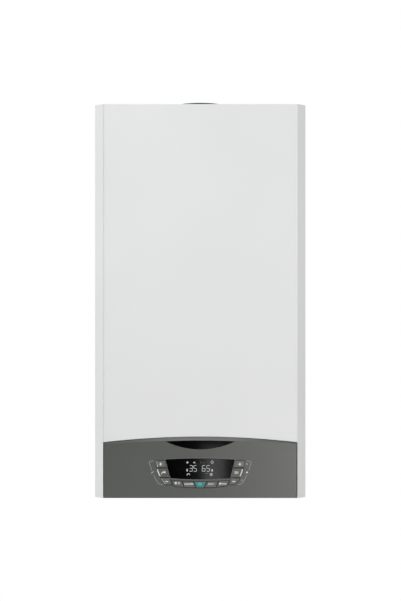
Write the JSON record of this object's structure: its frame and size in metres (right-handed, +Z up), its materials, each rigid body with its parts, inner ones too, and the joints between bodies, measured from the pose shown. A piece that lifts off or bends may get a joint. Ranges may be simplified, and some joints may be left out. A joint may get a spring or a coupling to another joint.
{
  "type": "combi boiler",
  "caption": "Wall-hung combi boiler with a bevelled white steel casing, an arched grey control panel that hinges down, a top flue collar and bottom pipe connections.",
  "frame": {"origin": "midway between the two wall screws of the hanging bracket, on the wall plane", "axes": "+X to the right seen from the front, +Y into the wall so the front faces -Y, +Z up"},
  "size_m": [0.4, 0.3196, 0.7895],
  "materials": {
    "white_enamel": "satin powder coat",
    "galvanised": "galvanised sheet",
    "fascia_grey": "fine moulded texture",
    "tray_grey": "moulded",
    "badge_black": "polished",
    "display_black": "polished",
    "key_grey": "satin",
    "key_teal": "satin",
    "board_green": "solder mask",
    "collar_black": "moulded",
    "seal_foam": "foam",
    "zinc_screw": "zinc plated",
    "steel": "stainless",
    "cast_aluminium": "cast",
    "vessel_red": "gloss paint",
    "brass": "turned",
    "copper": "drawn tube",
    "plastic_white": "moulded",
    "plastic_black": "moulded",
    "knob_red": "moulded",
    "knob_blue": "moulded",
    "composite": "glass filled",
    "motor_green": "paint",
    "ceramic": "glazed",
    "lead_silicone": "silicone"
  },
  "bodies": {
    "root": {"wall_bracket": "galvanised", "rear_frame": "galvanised", "left_side_panel": "white_enamel", "right_side_panel": "white_enamel", "top_plate": "white_enamel", "chamber_floor": "galvanised", "connection_plate": "galvanised", "flue_collar": "collar_black", "flue_pipe": "cast_aluminium", "cover_seal": "seal_foam", "hinge_brackets": "galvanised", "expansion_vessel": "vessel_red", "exchanger_straps": "galvanised", "heat_exchanger": "steel", "heating_coil": "steel", "burner_door": "cast_aluminium", "burner": "steel", "electrodes": "ceramic", "fan_housing": "cast_aluminium", "fan_motor": "plastic_black", "mixture_duct": "cast_aluminium", "gas_mixer": "composite", "gas_valve": "cast_aluminium", "air_silencer": "plastic_black", "connection_tails": "brass", "flow_manifold": "composite", "return_manifold": "composite", "plate_exchanger": "steel", "diverter_motor": "plastic_white", "pump_body": "composite", "pump_motor": "motor_green", "air_vent": "plastic_white", "relief_valve": "brass", "water_pipes": "copper", "gas_pipe": "copper", "condensate_drain": "plastic_white", "ignition_lead": "lead_silicone"},
    "front_cover": {"front_cover": "white_enamel", "cover_screws": "zinc_screw"},
    "control_panel": {"control_fascia": "fascia_grey", "badge_plate": "badge_black", "display_window": "display_black", "electrics_tray": "tray_grey", "electrics_lid": "tray_grey", "mains_gland": "plastic_black", "control_board": "board_green"},
    "fan_impeller": {"fan_impeller": "plastic_black"},
    "pump_impeller": {"pump_impeller": "plastic_white"},
    "diverter_spindle": {"diverter_spindle": "steel"},
    "filling_knob": {"filling_knob": "knob_blue"},
    "relief_knob": {"relief_knob": "knob_red"},
    "water_plus_key": {"water_plus_key": "key_grey"},
    "water_minus_key": {"water_minus_key": "key_grey"},
    "heating_plus_key": {"heating_plus_key": "key_grey"},
    "heating_minus_key": {"heating_minus_key": "key_grey"},
    "mode_key": {"mode_key": "key_grey"},
    "comfort_key": {"comfort_key": "key_grey"},
    "power_key": {"power_key": "key_teal"},
    "auto_key": {"auto_key": "key_grey"},
    "reset_key": {"reset_key": "key_grey"}
  },
  "joints": [
    {"name": "cover_slide", "type": "slide", "parent": "root", "child": "front_cover", "axis": [0, -1, 0], "range_m": [0, 0.12]},
    {"name": "panel_hinge", "type": "hinge", "parent": "root", "child": "control_panel", "pos_m": [0, -0.232, -0.673], "axis": [1, 0, 0], "range_deg": [0, 90]},
    {"name": "fan_spin", "type": "hinge", "parent": "root", "child": "fan_impeller", "pos_m": [0.04, -0.275, -0.36], "axis": [0, -1, 0], "continuous": true},
    {"name": "pump_spin", "type": "hinge", "parent": "root", "child": "pump_impeller", "pos_m": [0.105, -0.15, -0.52], "axis": [0, -1, 0], "continuous": true},
    {"name": "diverter_travel", "type": "slide", "parent": "root", "child": "diverter_spindle", "axis": [0, 0, 1], "range_m": [-0.01, 0]},
    {"name": "filling_turn", "type": "hinge", "parent": "root", "child": "filling_knob", "pos_m": [0.0975, -0.135, -0.693], "axis": [0, 0, 1], "range_deg": [0, 90]},
    {"name": "relief_turn", "type": "hinge", "parent": "root", "child": "relief_knob", "pos_m": [0.138, -0.187, -0.617], "axis": [0, -1, 0], "range_deg": [0, 90]},
    {"name": "water_plus_press", "type": "slide", "parent": "control_panel", "child": "water_plus_key", "axis": [0, 1, 0], "range_m": [0, 0.0008], "stiffness_N_per_m": 1200, "springref_m": -0.0008},
    {"name": "water_minus_press", "type": "slide", "parent": "control_panel", "child": "water_minus_key", "axis": [0, 1, 0], "range_m": [0, 0.0008], "stiffness_N_per_m": 1200, "springref_m": -0.0008},
    {"name": "heating_plus_press", "type": "slide", "parent": "control_panel", "child": "heating_plus_key", "axis": [0, 1, 0], "range_m": [0, 0.0008], "stiffness_N_per_m": 1200, "springref_m": -0.0008},
    {"name": "heating_minus_press", "type": "slide", "parent": "control_panel", "child": "heating_minus_key", "axis": [0, 1, 0], "range_m": [0, 0.0008], "stiffness_N_per_m": 1200, "springref_m": -0.0008},
    {"name": "mode_press", "type": "slide", "parent": "control_panel", "child": "mode_key", "axis": [0, 1, 0], "range_m": [0, 0.0008], "stiffness_N_per_m": 1200, "springref_m": -0.0008},
    {"name": "comfort_press", "type": "slide", "parent": "control_panel", "child": "comfort_key", "axis": [0, 1, 0], "range_m": [0, 0.0008], "stiffness_N_per_m": 1200, "springref_m": -0.0008},
    {"name": "power_press", "type": "slide", "parent": "control_panel", "child": "power_key", "axis": [0, 1, 0], "range_m": [0, 0.0008], "stiffness_N_per_m": 1200, "springref_m": -0.0008},
    {"name": "auto_press", "type": "slide", "parent": "control_panel", "child": "auto_key", "axis": [0, 1, 0], "range_m": [0, 0.0008], "stiffness_N_per_m": 1200, "springref_m": -0.0008},
    {"name": "reset_press", "type": "slide", "parent": "control_panel", "child": "reset_key", "axis": [0, 1, 0], "range_m": [0, 0.0008], "stiffness_N_per_m": 1200, "springref_m": -0.0008}
  ]
}
